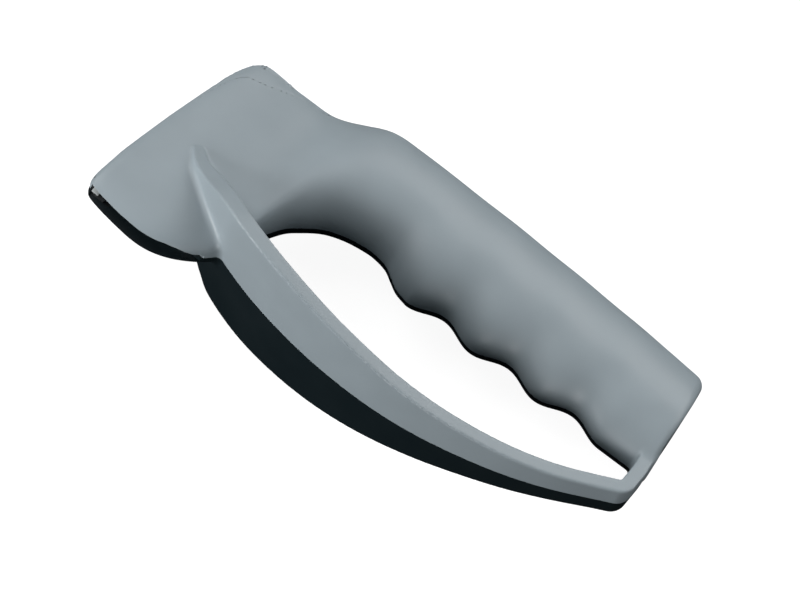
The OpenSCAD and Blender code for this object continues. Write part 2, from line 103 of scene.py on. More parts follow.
NECK_SHARES = [
    (0.14, -0.957, 0.42, 0.03), (0.29, -0.986, 0.49, 0.07), (0.42, -1.000, 0.56, 0.11),
    (0.54, -0.981, 0.62, 0.15), (0.66, -0.921, 0.69, 0.20), (0.77, -0.828, 0.77, 0.26),
    (0.86, -0.718, 0.85, 0.35), (0.92, -0.574, 0.93, 0.48), (0.965, -0.388, 1.02, 0.62)]
INDEX_SHARES = [
    (0.055, -0.830, 0.11, 0.74), (0.145, -0.200, 0.19, 0.84), (0.265, 0.420, 0.29, 0.92),
    (0.405, 0.800, 0.41, 0.97), (0.550, 0.985, 0.55, 0.99), (0.640, 1.000, 0.64, 1.00),
    (0.740, 0.870, 0.74, 1.00), (0.820, 0.560, 0.82, 1.00), (0.900, 0.260, 0.90, 1.00),
    (1.000, 0.103, 1.00, 1.00)]
GUARD_SHARES = [
    (0.082, -0.120, 0.225), (0.091, -0.172, 0.287), (0.117, -0.322, 0.405),
    (0.150, -0.445, 0.565), (0.182, -0.556, 0.765), (0.215, -0.658, 0.900), (0.247, -0.742, 0.970),
    (0.311, -0.850, 1.000), (0.376, -0.925, 0.980), (0.452, -0.980, 0.915),
    (0.530, -1.000, 0.820), (0.607, -0.983, 0.695), (0.685, -0.922, 0.570),
    (0.763, -0.820, 0.455), (0.831, -0.702, 0.375), (0.895, -0.556, 0.315),
    (0.955, -0.388, 0.285)]
STRUT_SHARES = (0.0, 0.13, 0.26)
MOUTH_SHARES = [(0, 0.9), (0.40, 1), (0.74, 0.99), (0.85, 0.86), (0.95, 0.53), (1, 0)]
HANDLE_SCREWS = [(0.385, 0.56), (0.647, 0.53), (0.895, 0.50)]
HEAD_SCREWS = [(0.150, 0.42), (0.135, -0.42)]

# How finely the body, the guard and the cavity are sampled
SKIN_STATIONS, GROOVE_STATIONS, SKIN_RING, GUARD_STATIONS = 8, 24, 64, 8
CAVITY_ROWS, CAVITY_GROOVES, CAVITY_STATIONS, CAVITY_RING = 2, 6, 120, 16
# How closely a section's points crowd round its cheek, on the head and on the grip
HEAD_CROWD, GRIP_CROWD = 1.7, 1.1
# Fillet beside the grip, and the share of the guard's rise over the cheek that a fillet takes
GRIP_FILLET, RISE_SHARE = 1.2, 0.8
# Half the band that is eased along the parting plane, as a share of the surface step
SEAM_SHARE = 0.45
# Block that keeps one half of the skin, and the height from which rays look for the cheek
KEEP_LOW, KEEP_HIGH, KEEP_Z, RAY_START = (-20, -60), (180, 60), 60, 40


def linear(code):
    """An sRGB hex colour as linear red, green and blue, with alpha."""
    parts = [int(code[i:i + 2], 16) / 255 for i in (1, 3, 5)]
    return tuple(p / 12.92 if p <= 0.04045 else ((p + 0.055) / 1.055) ** 2.4 for p in parts) + (1.0,)


def colour(label, about, code):
    return FloatVectorProperty(name=label, description=about, default=linear(code), size=4,
                               min=0, max=1, subtype="COLOR")


def length(label, about, size, most):
    """A size in millimetres as a property in metres."""
    return FloatProperty(name=label, description=about, default=size * MM, min=0, max=most * MM,
                         precision=5, subtype="DISTANCE", unit="LENGTH")


class ShellSizes(bpy.types.PropertyGroup):
    fillet: length("Guard fillet", "Hollow between the head's cheek and the guard's wing", 1.8, 6)
    seam: length("Seam depth", "How far the edges of both halves are eased along the parting line", 0.1, 0.4)
    step: length("Surface step", "Size of the mesh's quads on the shells", 0.46, 2)


class ScrewSizes(bpy.types.PropertyGroup):
    pitch: length("Thread pitch", "Rise of the coarse thread in one turn", 0.9, 2)
    depth: length("Thread depth", "Height of the thread over the core", 0.32, 0.6)
    recess: length("Recess width", "Width of each slot of the cross recess", 0.8, 1.2)
    seed: IntProperty(name="Turn seed", description="Where each screw happened to stop turning",
                      default=7, min=0)


class Finishes(bpy.types.PropertyGroup):
    grey: colour("Front shell", "Blue-grey pigment of the front half", "#929DA3")
    black: colour("Rear shell", "Black pigment of the rear half", "#0E191D")
    holder: colour("Blade holder", "Glass-filled nylon of the blade holder", "#2C2F31")
    bars: colour("Hard metal bars", "Ground sintered carbide", "#C3C9CA")
    plate: colour("Clamp plate", "Rolled stainless steel strip", "#C4C6C7")
    screws: colour("Screws", "Zinc plating of the screws", "#B9BEC2")
    grain: length("Mould grain", "Grain that the spark-eroded mould leaves on the shells", 0.3, 2)


class Studio(bpy.types.PropertyGroup):
    distance: length("Camera distance", "From the lens to the middle of the object", 1000, 5000)
    lens: FloatProperty(name="Lens", description="Focal length on a full frame", default=180,
                        min=20, max=400, subtype="DISTANCE_CAMERA")
    light: FloatProperty(name="Light", description="Level of all lamps together", default=1,
                         min=0, max=4, subtype="FACTOR")
    floor: colour("Floor", "Paper that the object lies on", "#272727")


class SharpenerSettings(bpy.types.PropertyGroup):
    shells: PointerProperty(type=ShellSizes)
    screws: PointerProperty(type=ScrewSizes)
    finishes: PointerProperty(type=Finishes)
    studio: PointerProperty(type=Studio)


# Outlines of the body
def mix(a, b, t):
    return a + (b - a) * t


def smooth(t):
    c = min(1.0, max(0.0, t))
    return c * c * (3 - 2 * c)


def front_x(y):
    low = NOSE_RISE + NOSE_R - HEAD_DROP
    return FRONT_SWEEP * (max(0.0, y - low) / (HEAD_RISE - low)) ** FRONT_SHARE


def tail_x(y):
    return OVERALL_L - TAIL_SWEEP * y / TAIL_H


def brow_y(x):
    return HEAD_RISE + BROW_RISE * max(0.0, 1 - x / NECK_X) ** 2


def palm_y(x):
    start = NECK_X + NECK_L
    back = HANDLE_H - (HANDLE_H - TAIL_H) * (max(0.0, x - start) / (OVERALL_L - start)) ** 2
    return mix(brow_y(x), back, smooth((x - NECK_X) / NECK_L))


def bump_y(x):
    return GROOVE_D * mix(BUMP_SHARES[0], BUMP_SHARES[1], (x - BUMP_X) / (GROOVES * PITCH))


def finger_y(x):
    c = min(x - BUMP_X, GROOVES * PITCH)
    return bump_y(x) + GROOVE_D * (1 - math.cos(2 * math.pi * c / PITCH)) / 2


def slim(half):
    return max(0.0, 1 - EDGE_T / 2 / half)


def row(low, top, half, turn, bow=0.0):
    """A station: lower and upper edge, half thickness, turn from head to grip, bow, slimmer lower edge."""
    return [low[0], low[1], top[0], top[1], half, turn, bow, slim(half)]


def body_half(turn):
    return mix(mix(EDGE_T, HEAD_T, smooth(turn * 5)), NECK_T, smooth(turn)) / 2


def front_rows():
    rows = []
    for a in (0, 30, 60):
        s, c = math.sin(math.radians(a)), math.cos(math.radians(a))
        ly = NOSE_RISE - HEAD_DROP + NOSE_R * (1 - s)
        ty = brow_y(FRONT_SWEEP) - HEAD_R * (1 - s)
        rows.append(row((front_x(ly) + NOSE_R * (1 - c), ly), (front_x(ty) + HEAD_R * (1 - c), ty),
                        EDGE_T / 2 - FACE_R * (1 - s), 0, FRONT_BOW * (1 - a / 90)))
    for sx, sy, st, turn in NECK_SHARES:
        tx = st * OPENING_X
        rows.append(row((sx * OPENING_X, sy * HEAD_DROP), (tx, palm_y(tx)), body_half(turn), turn))
    way = BUMP_X - OPENING_X
    for sx, sy, st, turn in INDEX_SHARES:
        tx = OPENING_X + st * way
        rows.append(row((OPENING_X + sx * way, sy * INDEX_H), (tx, palm_y(tx)), body_half(turn), turn))
    return np.array(rows)


def tail_rows():
    rows = []
    for a in (90, 75, 60, 45, 30, 15, 0):
        c, e = 1 - math.cos(math.radians(90 - a)), 1 - math.sin(math.radians(a))
        ly, ty = finger_y(OVERALL_L) + FACE_R * e, palm_y(OVERALL_L) - TAIL_R * e
        b = 1 - math.cos(math.radians(a))
        rows.append(row((tail_x(ly) - FACE_R * b, ly), (tail_x(ty) - TAIL_R * b, ty),
                        HANDLE_T / 2 - FACE_R * e, 1))
    return np.array(rows)


def curve(rows, count):
    """Points of the smooth curve through the rows, count of them between two rows."""
    out = []
    n = len(rows) - 1
    for i in range(n * count + 1):
        u = i / count
        k = min(n - 1, int(u))
        t = u - k
        a, b, c, d = rows[max(0, k - 1)], rows[k], rows[k + 1], rows[min(n, k + 2)]
        out.append((2 * b + (c - a) * t + (2 * a - 5 * b + 4 * c - d) * t * t
                    + (3 * b - a - 3 * c + d) * t ** 3) / 2)
    return np.array(out)


def body_rows(count, groove_count):
    """Stations along the body: count of them to a table row, and groove_count to a groove."""
    front = curve(front_rows(), count)
    grip = []
    for i in range(1, GROOVES * groove_count + 1):
        x = BUMP_X + i * PITCH / groove_count
        half = mix(NECK_T, HANDLE_T, smooth((x - BUMP_X) / PITCH / GROOVES)) / 2
        grip.append(row((x, finger_y(x)), (x, palm_y(x)), half, 1))
    return np.vstack([front, grip, tail_rows()])


def section(r, ring):
    """Half section of a station, from its lower edge round the cheek to its upper edge."""
    turn = smooth(r[5])
    t = np.arange(ring + 1) / ring * 2 - 1
    a = np.radians(90 * np.sign(t) * np.abs(t) ** mix(HEAD_CROWD, GRIP_CROWD, turn))
    low = a < 0
    n = np.where(low, mix(LOW_HEAD, LOW_GRIP, turn), mix(TOP_HEAD, TOP_GRIP, turn))
    s = np.sign(a) * np.abs(np.sin(a)) ** (2 / n)
    thin = np.where(low, r[7] * (1 - turn) * np.abs(s) ** 1.5, 0)
    w = (1 + s) / 2
    x = mix(r[0], r[2], w) - r[6] * (1 - s * s)
    y = mix(r[1], r[3], w)
    z = r[4] * (1 - thin) * np.maximum(0, np.cos(a)) ** (2 / n)
    z[0] = z[-1] = 0
    return np.stack([x, y, z], 1)


def inner_row(rows, u, inset):
    """The cavity's station at a place u, set in by the wall."""
    def at(v):
        k = int(max(0, min(len(rows) - 2, math.floor(v))))
        return mix(rows[k], rows[k + 1], v - k)
    r, way = at(u), at(u + 0.5) - at(u - 0.5)
    ll, lt = math.hypot(way[0], way[1]), math.hypot(way[2], way[3])
    low = (r[0] - inset * way[1] / ll, r[1] + inset * way[0] / ll)
    top = (r[2] + inset * way[3] / lt, r[3] - inset * way[2] / lt)
    lift = 0.0
    if low[0] < OPENING_X:
        floor = VEE_Y + SLOT_GAP - (low[0] - BAR_X) * math.tan(math.radians(SLOT_TILT))
        lift = max(0.0, floor + inset - low[1])
    return np.array([low[0], low[1] + lift, top[0], top[1], r[4] - inset, r[5], r[6], r[7]])


def guard_stations(count):
    """Outer line of the guard and its half width, then the bend and the strut."""
    band = np.array([(a * OVERALL_L, b * GUARD_DROP, c * GUARD_W / 2) for a, b, c in GUARD_SHARES])
    rows = [list(r) for r in curve(band, count)]
    for a in range(-60, -5, 6):
        rows.append([OVERALL_L - BEND_R * (1 - math.cos(math.radians(a))),
                     BEND_SHARE * GUARD_DROP + BEND_R * math.sin(math.radians(a)), STRUT_W / 2])
    for s in STRUT_SHARES:
        rows.append([tail_x(s * GUARD_DROP), s * GUARD_DROP, STRUT_W / 2])
    return np.array(rows)


def guard_profile(half, t):
    """Half section of the guard: depth behind its outer line, and height over the parting plane."""
    r = RIM_SHARE * GUARD_T
    points = [(GUARD_CROWN * (s * (half - r) / half) ** 2, s * (half - r)) for s in np.linspace(0, 1, 13)]
    for a in (22.5, 45, 67.5, 90):
        points.append((GUARD_CROWN + r * (1 - math.cos(math.radians(a))),
                       half - r + r * math.sin(math.radians(a))))
    for a in (90, 67.5, 45, 22.5, 0):
        points.append((t - r + r * math.cos(math.radians(a)),
                       half - r + r * math.sin(math.radians(a))))
    points += [(t, s * (half - r)) for s in np.linspace(0.75, 0, 4)]
    return points


# Last tenths of a millimetre between the solid's outline and the photographed one: along the
# head's front edge by height, and along the palm and the tail by place
FRONT_EASE = [(-31, 0.9), (-30, 0.9), (-29, 0.58), (-28, 0.36), (-27, 0.3), (-25, 0.14), (-21, 0.0),
              (-16, -0.3), (0, -0.36), (8, -0.2), (16, -0.15), (24, -0.3), (32, -0.2)]
PALM_EASE = [(8, 0.3), (16, 0.35), (24, 0.2), (28, 0), (36, -0.08), (40, -0.4), (44, -0.68), (48, -0.66),
             (52, -0.36), (70, -0.3), (82, -0.12), (120, -0.1), (140, -0.2), (148, 0.1), (154, 0.1)]
TAIL_EASE = [(0, 0.0), (10, -0.1), (16, 0.25), (22, 0.36), (28, 0.25), (36, 0.2)]


def ease_outline(obj):
    """Moves the lofted body's outline the last tenths of a millimetre."""
    for v in obj.data.vertices:
        x, y = v.co.x, v.co.y
        near = math.exp(-max(0.0, x - front_x(y)) / 6)
        v.co.x += near * float(np.interp(y, *zip(*FRONT_EASE)))
        v.co.x += smooth((x - 140) / 12) * float(np.interp(y, *zip(*TAIL_EASE)))
        v.co.y += smooth(y / palm_y(x) * 1.1 - 0.1) * float(np.interp(x, *zip(*PALM_EASE)))
    obj.data.update()


# The laid-down pose
LEAN, REST_PITCH = math.radians(10.1593), math.radians(1.00257)
SHIFT = Vector((-76.9304, -2.49358, 17.2556))
LAID = (Matrix.Scale(MM, 4) @ Matrix.Translation(SHIFT)
        @ Matrix.Rotation(REST_PITCH, 4, "Y") @ Matrix.Rotation(-LEAN, 4, "X"))


def laid_direction(v):
    turned = Matrix.Rotation(REST_PITCH, 3, "Y") @ Matrix.Rotation(-LEAN, 3, "X")
    return turned @ Vector(v)


# Mesh helpers
def mesh_object(name, verts, faces):
    mesh = bpy.data.meshes.new(name)
    mesh.from_pydata([tuple(map(float, v)) for v in verts], [], [tuple(map(int, f)) for f in faces])
    mesh.update()
    made = bpy.data.objects.new(name, mesh)
    bpy.context.scene.collection.objects.link(made)
    return made


def ring_faces(rows, m, ladder=False):
    """Quads between closed rings of m points, and a cap at each end: one face, or a ladder of
    faces from side to side for a ring whose second half mirrors the first."""
    faces = []
    for i in range(rows - 1):
        for j in range(m):
            a, b = i * m + j, i * m + (j + 1) % m
            faces.append((a, b, b + m, a + m))
    for first in (0, (rows - 1) * m):
        if ladder:
            middle, last = first + m // 2, first + m - 1
            faces += [(first, first + 1, last), (middle - 1, middle, middle + 1)]
            faces += [(first + j, first + j + 1, last - j, last - j + 1) for j in range(1, m // 2 - 1)]
        else:
            faces.append(tuple(range(first, first + m)))
    return faces


def clean(obj, distance=1e-4):
    """Merges doubled points and points every face outwards."""
    bm = bmesh.new()
    bm.from_mesh(obj.data)
    bmesh.ops.remove_doubles(bm, verts=bm.verts, dist=distance)
    bmesh.ops.recalc_face_normals(bm, faces=bm.faces)
    if bm.calc_volume(signed=True) < 0:
        bmesh.ops.reverse_faces(bm, faces=bm.faces)
    bm.to_mesh(obj.data)
    bm.free()
    return obj


def evened(obj, turns):
    """Evens out the steps that a voxel mesh leaves on slopes."""
    bm = bmesh.new()
    bm.from_mesh(obj.data)
    for _ in range(turns):
        bmesh.ops.smooth_vert(bm, verts=bm.verts, factor=0.5,
                              use_axis_x=True, use_axis_y=True, use_axis_z=True)
    bm.to_mesh(obj.data)
    bm.free()
    return obj


def baked(obj):
    """Replaces an object's mesh by its evaluated one, and drops the modifiers."""
    depsgraph = bpy.context.evaluated_depsgraph_get()
    mesh = bpy.data.meshes.new_from_object(obj.evaluated_get(depsgraph))
    obj.modifiers.clear()
    old = obj.data
    obj.data = mesh
    bpy.data.meshes.remove(old)
    return obj


def combine(obj, tool, operation):
    """Adds, cuts or keeps the shared part of two closed solids, and removes the tool."""
    step = obj.modifiers.new("combine", "BOOLEAN")
    step.object = tool
    step.operation = operation
    step.solver = "MANIFOLD"
    before = len(obj.data.polygons)
    baked(obj)
    after = len(obj.data.polygons)
    if after in (0, before):
        raise RuntimeError(f"{obj.name}: {operation} with {tool.name} left {after} of {before} faces")
    drop(tool)
    return obj


def drop(obj):
    mesh = obj.data
    bpy.data.objects.remove(obj)
    bpy.data.meshes.remove(mesh)


def block(name, low, high, matrix=Matrix.Identity(4)):
    """A box from corner to corner, as a cutting tool."""
    verts = [matrix @ Vector((x, y, z)) for x in (low[0], high[0]) for y in (low[1], high[1])
             for z in (low[2], high[2])]
    faces = [(0, 1, 3, 2), (4, 6, 7, 5), (0, 4, 5, 1), (2, 3, 7, 6), (0, 2, 6, 4), (1, 5, 7, 3)]
    return clean(mesh_object(name, verts, faces))


def prism(name, outline, low, high):
    """A side profile given as points, from z low to z high."""
    m = len(outline)
    verts = [(x, y, low) for x, y in outline] + [(x, y, high) for x, y in outline]
    return clean(mesh_object(name, verts, ring_faces(2, m)))


def lathe(name, profile, place, around=48):
    """A round solid along Z from points of radius and height, set on a place."""
    verts, m = [], len(profile)
    for k in range(around):
        a = 2 * math.pi * k / around
        verts += [(place[0] + r * math.cos(a), place[1] + r * math.sin(a), place[2] + z) for r, z in profile]
    faces = []
    for k in range(around):
        n = (k + 1) % around
        faces += [(k * m + j, n * m + j, n * m + j + 1, k * m + j + 1) for j in range(m - 1)]
    faces.append(tuple(k * m for k in range(around - 1, -1, -1)))
    faces.append(tuple(k * m + m - 1 for k in range(around)))
    return clean(mesh_object(name, verts, faces))


def pin(name, radius, place, low, high, around=48):
    return lathe(name, [(radius, low), (radius, high)], place, around)


# The moulded shells
def loft(name, rows, ring):
    """Closed skin through full sections of the body."""
    verts = []
    for r in rows:
        half = section(r, ring)
        verts += [tuple(p) for p in half]
        verts += [(p[0], p[1], -p[2]) for p in half[-2:0:-1]]
    return clean(mesh_object(name, verts, ring_faces(len(rows), 2 * ring, True)), 1e-5)


def guard_band(count):
    rows = guard_stations(count)
    verts = []
    for i, r in enumerate(rows):
        way = rows[min(len(rows) - 1, i + 1)] - rows[max(0, i - 1)]
        length = math.hypot(way[0], way[1])
        inward = (-way[1] / length, way[0] / length)
        t = mix(ROOT_T, GUARD_T, smooth(i / (len(rows) - 1) / THIN_SHARE))
        half = guard_profile(r[2], mix(TIP_T, t, smooth((r[0] - rows[0][0]) / TIP_REACH)))
        for d, z in half + [(d, -z) for d, z in half[-2:0:-1]]:
            verts.append((r[0] + d * inward[0], r[1] + d * inward[1], z))
    m = 2 * len(half) - 2
    return clean(mesh_object("guard_band", verts, ring_faces(len(rows), m, True)), 1e-5), rows


def signed(tree, p):
    """Distance from a closed mesh, less than zero inside, and the way out of it."""
    q, n, _, d = tree.find_nearest(p)
    way = p - q
    if d < 1e-5:
        return 0.0, n
    if way.dot(n) < 0:
        return -d, -way / d
    return d, way / d


def blend_surface(obj, body_tree, guard_tree, stations, cheek, radius):
    """Moves each point onto the body and guard, joined by a fillet that fades out with the guard's height."""
    xy = stations[:, :2]
    for v in obj.data.vertices:
        p = v.co.copy()
        near = None
        for _ in range(4):
            a, ga = signed(body_tree, p)
            b, gb = signed(guard_tree, p)
            if near is None:
                if abs(a) + abs(b) < 3 * radius + 2:
                    d2 = (xy[:, 0] - p.x) ** 2 + (xy[:, 1] - p.y) ** 2
                    near = cheek[int(np.argmin(d2))]
                else:
                    near = 0.0
            k = max(1e-3, near)
            h = min(1.0, max(0.0, 0.5 + 0.5 * (b - a) / k))
            f = mix(b, a, h) - k * h * (1 - h)
            g = gb * (1 - h) + ga * h
            if g.length < 1e-6:
                break
            p = p - g * (f / max(0.5, g.length_squared))
            if abs(f) < 0.002:
                break
        v.co = p


def tree_of(obj):
    return BVHTree.FromPolygons([v.co.copy() for v in obj.data.vertices],
                                [tuple(p.vertices) for p in obj.data.polygons])


def shell_skin(radius, voxel, seam):
    """Body and guard as one skin, eased a little along the parting line. Known fault: it is torn
    along the palm side of the head."""
    body = loft("body_loft", body_rows(SKIN_STATIONS, GROOVE_STATIONS), SKIN_RING)
    ease_outline(body)
    guard, stations = guard_band(GUARD_STATIONS)
    body_tree, guard_tree = tree_of(body), tree_of(guard)
    cheek = []
    for r in stations:
        above = Vector((r[0] + GUARD_CROWN, r[1] + 1, RAY_START))
        hit = body_tree.ray_cast(above, Vector((0, 0, -1)))[0]
        rise = r[2] - (hit.z if hit else 0)
        cheek.append(min(radius, max(0.0, RISE_SHARE * rise) if r[0] < BUMP_X else GRIP_FILLET))
    merged = combine(body, guard, "UNION")
    remesh = merged.modifiers.new("even", "REMESH")
    remesh.mode = "VOXEL"
    remesh.voxel_size = voxel
    baked(merged)
    evened(merged, 2)
    blend_surface(merged, body_tree, guard_tree, stations, cheek, radius)
    merged.data.update()
    for v in merged.data.vertices:
        if abs(v.co.z) < SEAM_SHARE * voxel:
            v.co -= seam * v.normal
            v.co.z = 0
    return merged


def copy_of(obj, name):
    made = bpy.data.objects.new(name, obj.data.copy())
    bpy.context.scene.collection.objects.link(made)
    return made


def place_of(share):
    return (share[0] * OVERALL_L, share[1] * HANDLE_H, 0)


def slot_tool(name):
    m = (Matrix.Translation((BAR_X, VEE_Y + SLOT_GAP, -SLOT_W / 2))
         @ Matrix.Rotation(-math.radians(SLOT_TILT), 4, "Z"))
    return block(name, (-BAR_X - 1, -HEAD_DROP, 0), (OPENING_X, 0, SLOT_W), m)


def mouth_tool(name):
    """The slot's mouth, wide at the head's lower edge and as narrow as the slot at its top. It
    runs on as a narrow gap to the guard."""
    edge = [(mix(BAR_X, MOUTH_L, u), w * MOUTH_W / 2) for u, w in MOUTH_SHARES]
    places = sorted({x for x, _ in edge} | {x for x, _ in MOUTH_EASE})
    side = [(x, float(np.interp(x, *zip(*edge))) * (x < MOUTH_L), float(np.interp(x, *zip(*MOUTH_EASE))))
            for x in places]
    ring = [(x, w + more) for x, w, more in side] + [(x, -w - MOUTH_LEAST) for x, w, _ in side[::-1]]
    verts = [(x, -HEAD_DROP - MOUTH_BEYOND, w) for x, w in ring]
    verts += [(x, VEE_Y, w * SLOT_W / MOUTH_W) for x, w in ring]
    return clean(mesh_object(name, verts, ring_faces(2, len(ring))), 1e-5)


def holder_outline(gap):
    front, back, top = TIP_WALL - gap, BAR_X + HOLDER_L + gap, HOLDER_Y + HOLDER_H + gap
    return [(front, HOLDER_Y - gap + NOSE_R / 2), (front + NOSE_R / 2, HOLDER_Y - gap),
            (back, HOLDER_Y - gap), (back, top), (front + front_x(top), top),
            (front + front_x(VEE_Y), VEE_Y)]


def cavity_skin():
    rows = body_rows(CAVITY_ROWS, CAVITY_GROOVES)
    inner = [inner_row(rows, mix(CAVITY_START, len(rows) - 1 - CAVITY_END, i / CAVITY_STATIONS), WALL)
             for i in range(CAVITY_STATIONS + 1)]
    return loft("cavity", np.array(inner), CAVITY_RING)


def finish_shell(skin, cavity, side, name):
    """Keeps one side of the skin, hollows it, and adds its bosses, slot, pocket and holes."""
    half = copy_of(skin, name)
    low, high = (0, KEEP_Z) if side > 0 else (-KEEP_Z, 0)
    combine(half, block("keep", (*KEEP_LOW, low), (*KEEP_HIGH, high)), "INTERSECT")
    combine(half, copy_of(cavity, "cavity_copy"), "DIFFERENCE")
    for share, top in ([(s, HANDLE_T / 2 - WALL / 2) for s in HANDLE_SCREWS]
                       + [(s, EDGE_T / 2) for s in HEAD_SCREWS]):
        ends = (0, top) if side > 0 else (-top, 0)
        combine(half, pin("boss", BOSS_D / 2, place_of(share), *ends), "UNION")
    combine(half, slot_tool("slot"), "DIFFERENCE")
    combine(half, mouth_tool("mouth"), "DIFFERENCE")
    pocket = prism("pocket", holder_outline(FIT), -HOLDER_W / 2 - FIT, HOLDER_W / 2 + FIT)
    combine(half, pocket, "DIFFERENCE")
    for share, seat, grip in ([(s, HANDLE_SEAT, HANDLE_GRIP) for s in HANDLE_SCREWS]
                              + [(s, HEAD_SEAT, HEAD_GRIP) for s in HEAD_SCREWS]):
        place = place_of(share)
        if side > 0:
            combine(half, pin("hole", SCREW_D / 2 + FIT / 2, place, -1, grip + FIT), "DIFFERENCE")
        else:
            combine(half, pin("hole", SCREW_D / 2 + FIT, place, -seat - 1, 1), "DIFFERENCE")
            sunk = pin("counterbore", SCREW_HEAD_D / 2 + FIT, place, -HANDLE_T, -seat)
            combine(half, sunk, "DIFFERENCE")
    return half


def settle(obj, name, body="root", sharp=35):
    """Turns a finished mesh from the design frame into the row frame, in metres, and names it."""
    obj.name = obj.data.name = name
    obj.data.transform(LAID)
    low, high = CAD_BOX
    co = np.zeros(len(obj.data.vertices) * 3)
    obj.data.vertices.foreach_get("co", co)
    co = np.clip(co.reshape(-1, 3), np.array(low), np.array(high))
    obj.data.vertices.foreach_set("co", co.ravel())
    obj.data.shade_smooth()
    obj.data.set_sharp_from_angle(angle=math.radians(sharp))
    obj.data.update()
    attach(obj, body)
    return obj


# Bars
def ground_bar(name, side):
    """One hard metal bar with its ground arrises, its edge across the bottom of the V."""
    x = BAR_X if side > 0 else BAR_X + BAR_T
    m = (Matrix.Translation((x, VEE_Y, 0)) @ Matrix.Scale(-side, 4, (0, 0, 1))
         @ Matrix.Rotation(-math.radians(VEE_A), 4, "X"))
    bar = block(name, (0, -BAR_DOWN, 0), (BAR_T, BAR_L - BAR_DOWN, BAR_W), m)
    bm = bmesh.new()
    bm.from_mesh(bar.data)
    bmesh.ops.bevel(bm, geom=bm.edges[:], offset=BAR_ARRIS, segments=2, affect="EDGES", profile=0.5)
    bm.to_mesh(bar.data)
    bm.free()
    return clean(bar)


# Surfaces
def add(tree, kind, settings=None, values=None, links=None):
    """Adds a node with its settings, its sockets' values, and the outputs linked to its sockets."""
    node = tree.nodes.new(kind)
    for name, value in (settings or {}).items():
        setattr(node, name, value)
    for name, value in (values or {}).items():
        node.inputs[name].default_value = value
    for name, outputs in (links or {}).items():
        for output in outputs if isinstance(outputs, list) else [outputs]:
            tree.links.new(output, node.inputs[name])
    return node


def new_surface(name):
    """An empty material and its tree, with the place on the object in metres."""
    material = bpy.data.materials.new(name)
    material.use_nodes = True
    tree = material.node_tree
    tree.nodes.clear()
    return material, tree, add(tree, "ShaderNodeTexCoord").outputs["Object"]


def toned(tone, share):
    return tuple(share * c for c in tone[:3]) + (1,)


def moulded_plastic(name, pigment, rough, grain, relief, values):
    """Injection moulded plastic: a pigment that clouds a little, the mould's fine grain, and
    long faint waves where the thick bosses draw the skin in as it cools."""
    material, tree, place = new_surface(name)
    cloud = add(tree, "ShaderNodeTexNoise", values={"Scale": 1 / (9 * MM), "Detail": 3.0},
                links={"Vector": place})
    base = add(tree, "ShaderNodeMix", {"data_type": "RGBA"},
               {6: toned(pigment, 0.95), 7: toned(pigment, 1.05)}, {0: cloud.outputs[0]})
    fine = add(tree, "ShaderNodeTexNoise", values={"Scale": 1 / grain, "Detail": 2.0, "Roughness": 0.6},
               links={"Vector": place})
    wave = add(tree, "ShaderNodeTexNoise", values={"Scale": 1 / (26 * MM), "Detail": 0.0},
               links={"Vector": place})
    shine = add(tree, "ShaderNodeMapRange", values={"From Min": 0.25, "From Max": 0.75,
                                                    "To Min": rough - 0.04, "To Max": rough + 0.04},
                links={"Value": cloud.outputs[0]})
    sunk = add(tree, "ShaderNodeBump", values={"Strength": 0.6, "Distance": 0.05 * MM},
               links={"Height": wave.outputs[0]})
    skin = add(tree, "ShaderNodeBump", values={"Strength": 0.5, "Distance": relief},
               links={"Height": fine.outputs[0], "Normal": sunk.outputs[0]})
    shader = add(tree, "ShaderNodeBsdfPrincipled", values=values,
                 links={"Base Color": base.outputs[2], "Roughness": shine.outputs[0],
                        "Normal": skin.outputs[0]})
    add(tree, "ShaderNodeOutputMaterial", links={"Surface": shader.outputs[0]})
    return material


def worked_metal(name, tone, rough, lines, relief, metallic=1.0):
    """Bare or plated metal: its marks are long and narrow along the direction it was worked in."""
    material, tree, place = new_surface(name)
    stretched = add(tree, "ShaderNodeMapping", values={"Scale": lines}, links={"Vector": place})
    marks = add(tree, "ShaderNodeTexNoise", values={"Scale": 1.0, "Detail": 3.0, "Roughness": 0.7},
                links={"Vector": stretched.outputs[0]})
    cloud = add(tree, "ShaderNodeTexNoise", values={"Scale": 1 / (2 * MM), "Detail": 2.0},
                links={"Vector": place})
    base = add(tree, "ShaderNodeMix", {"data_type": "RGBA"}, {6: toned(tone, 0.85), 7: tone},
               {0: cloud.outputs[0]})
    shine = add(tree, "ShaderNodeMapRange", values={"From Min": 0.3, "From Max": 0.7,
                                                    "To Min": rough - 0.06, "To Max": rough + 0.06},
                links={"Value": marks.outputs[0]})
    skin = add(tree, "ShaderNodeBump", values={"Strength": 0.5, "Distance": relief},
               links={"Height": marks.outputs[0]})
    shader = add(tree, "ShaderNodeBsdfPrincipled", values={"Metallic": metallic},
                 links={"Base Color": base.outputs[2], "Roughness": shine.outputs[0],
                        "Normal": skin.outputs[0]})
    add(tree, "ShaderNodeOutputMaterial", links={"Surface": shader.outputs[0]})
    return material


def zinc_plating(name):
    """Zinc, blue passivated: bright and slightly uneven."""
    return worked_metal(name, settings().finishes.screws, 0.32, (1500, 1500, 1500), 0.003 * MM)


def dress(obj, material):
    """Puts one material on a piece or on a node of the frame."""
    obj.data.materials.clear()
    obj.data.materials.append(material)


def settings():
    return bpy.context.scene.sharpener


# The studio
# Middle of the object and the photograph's viewing angle, in the design frame
LOOK_AT = (78.1, 0, 0)
VIEW_BACK = (0.1246, -0.4997, 0.8572)
VIEW_RIGHT = (0.78717, 0.57570, 0.22121)
VIEW_DOWN = (0.60402, -0.64717, -0.46511)
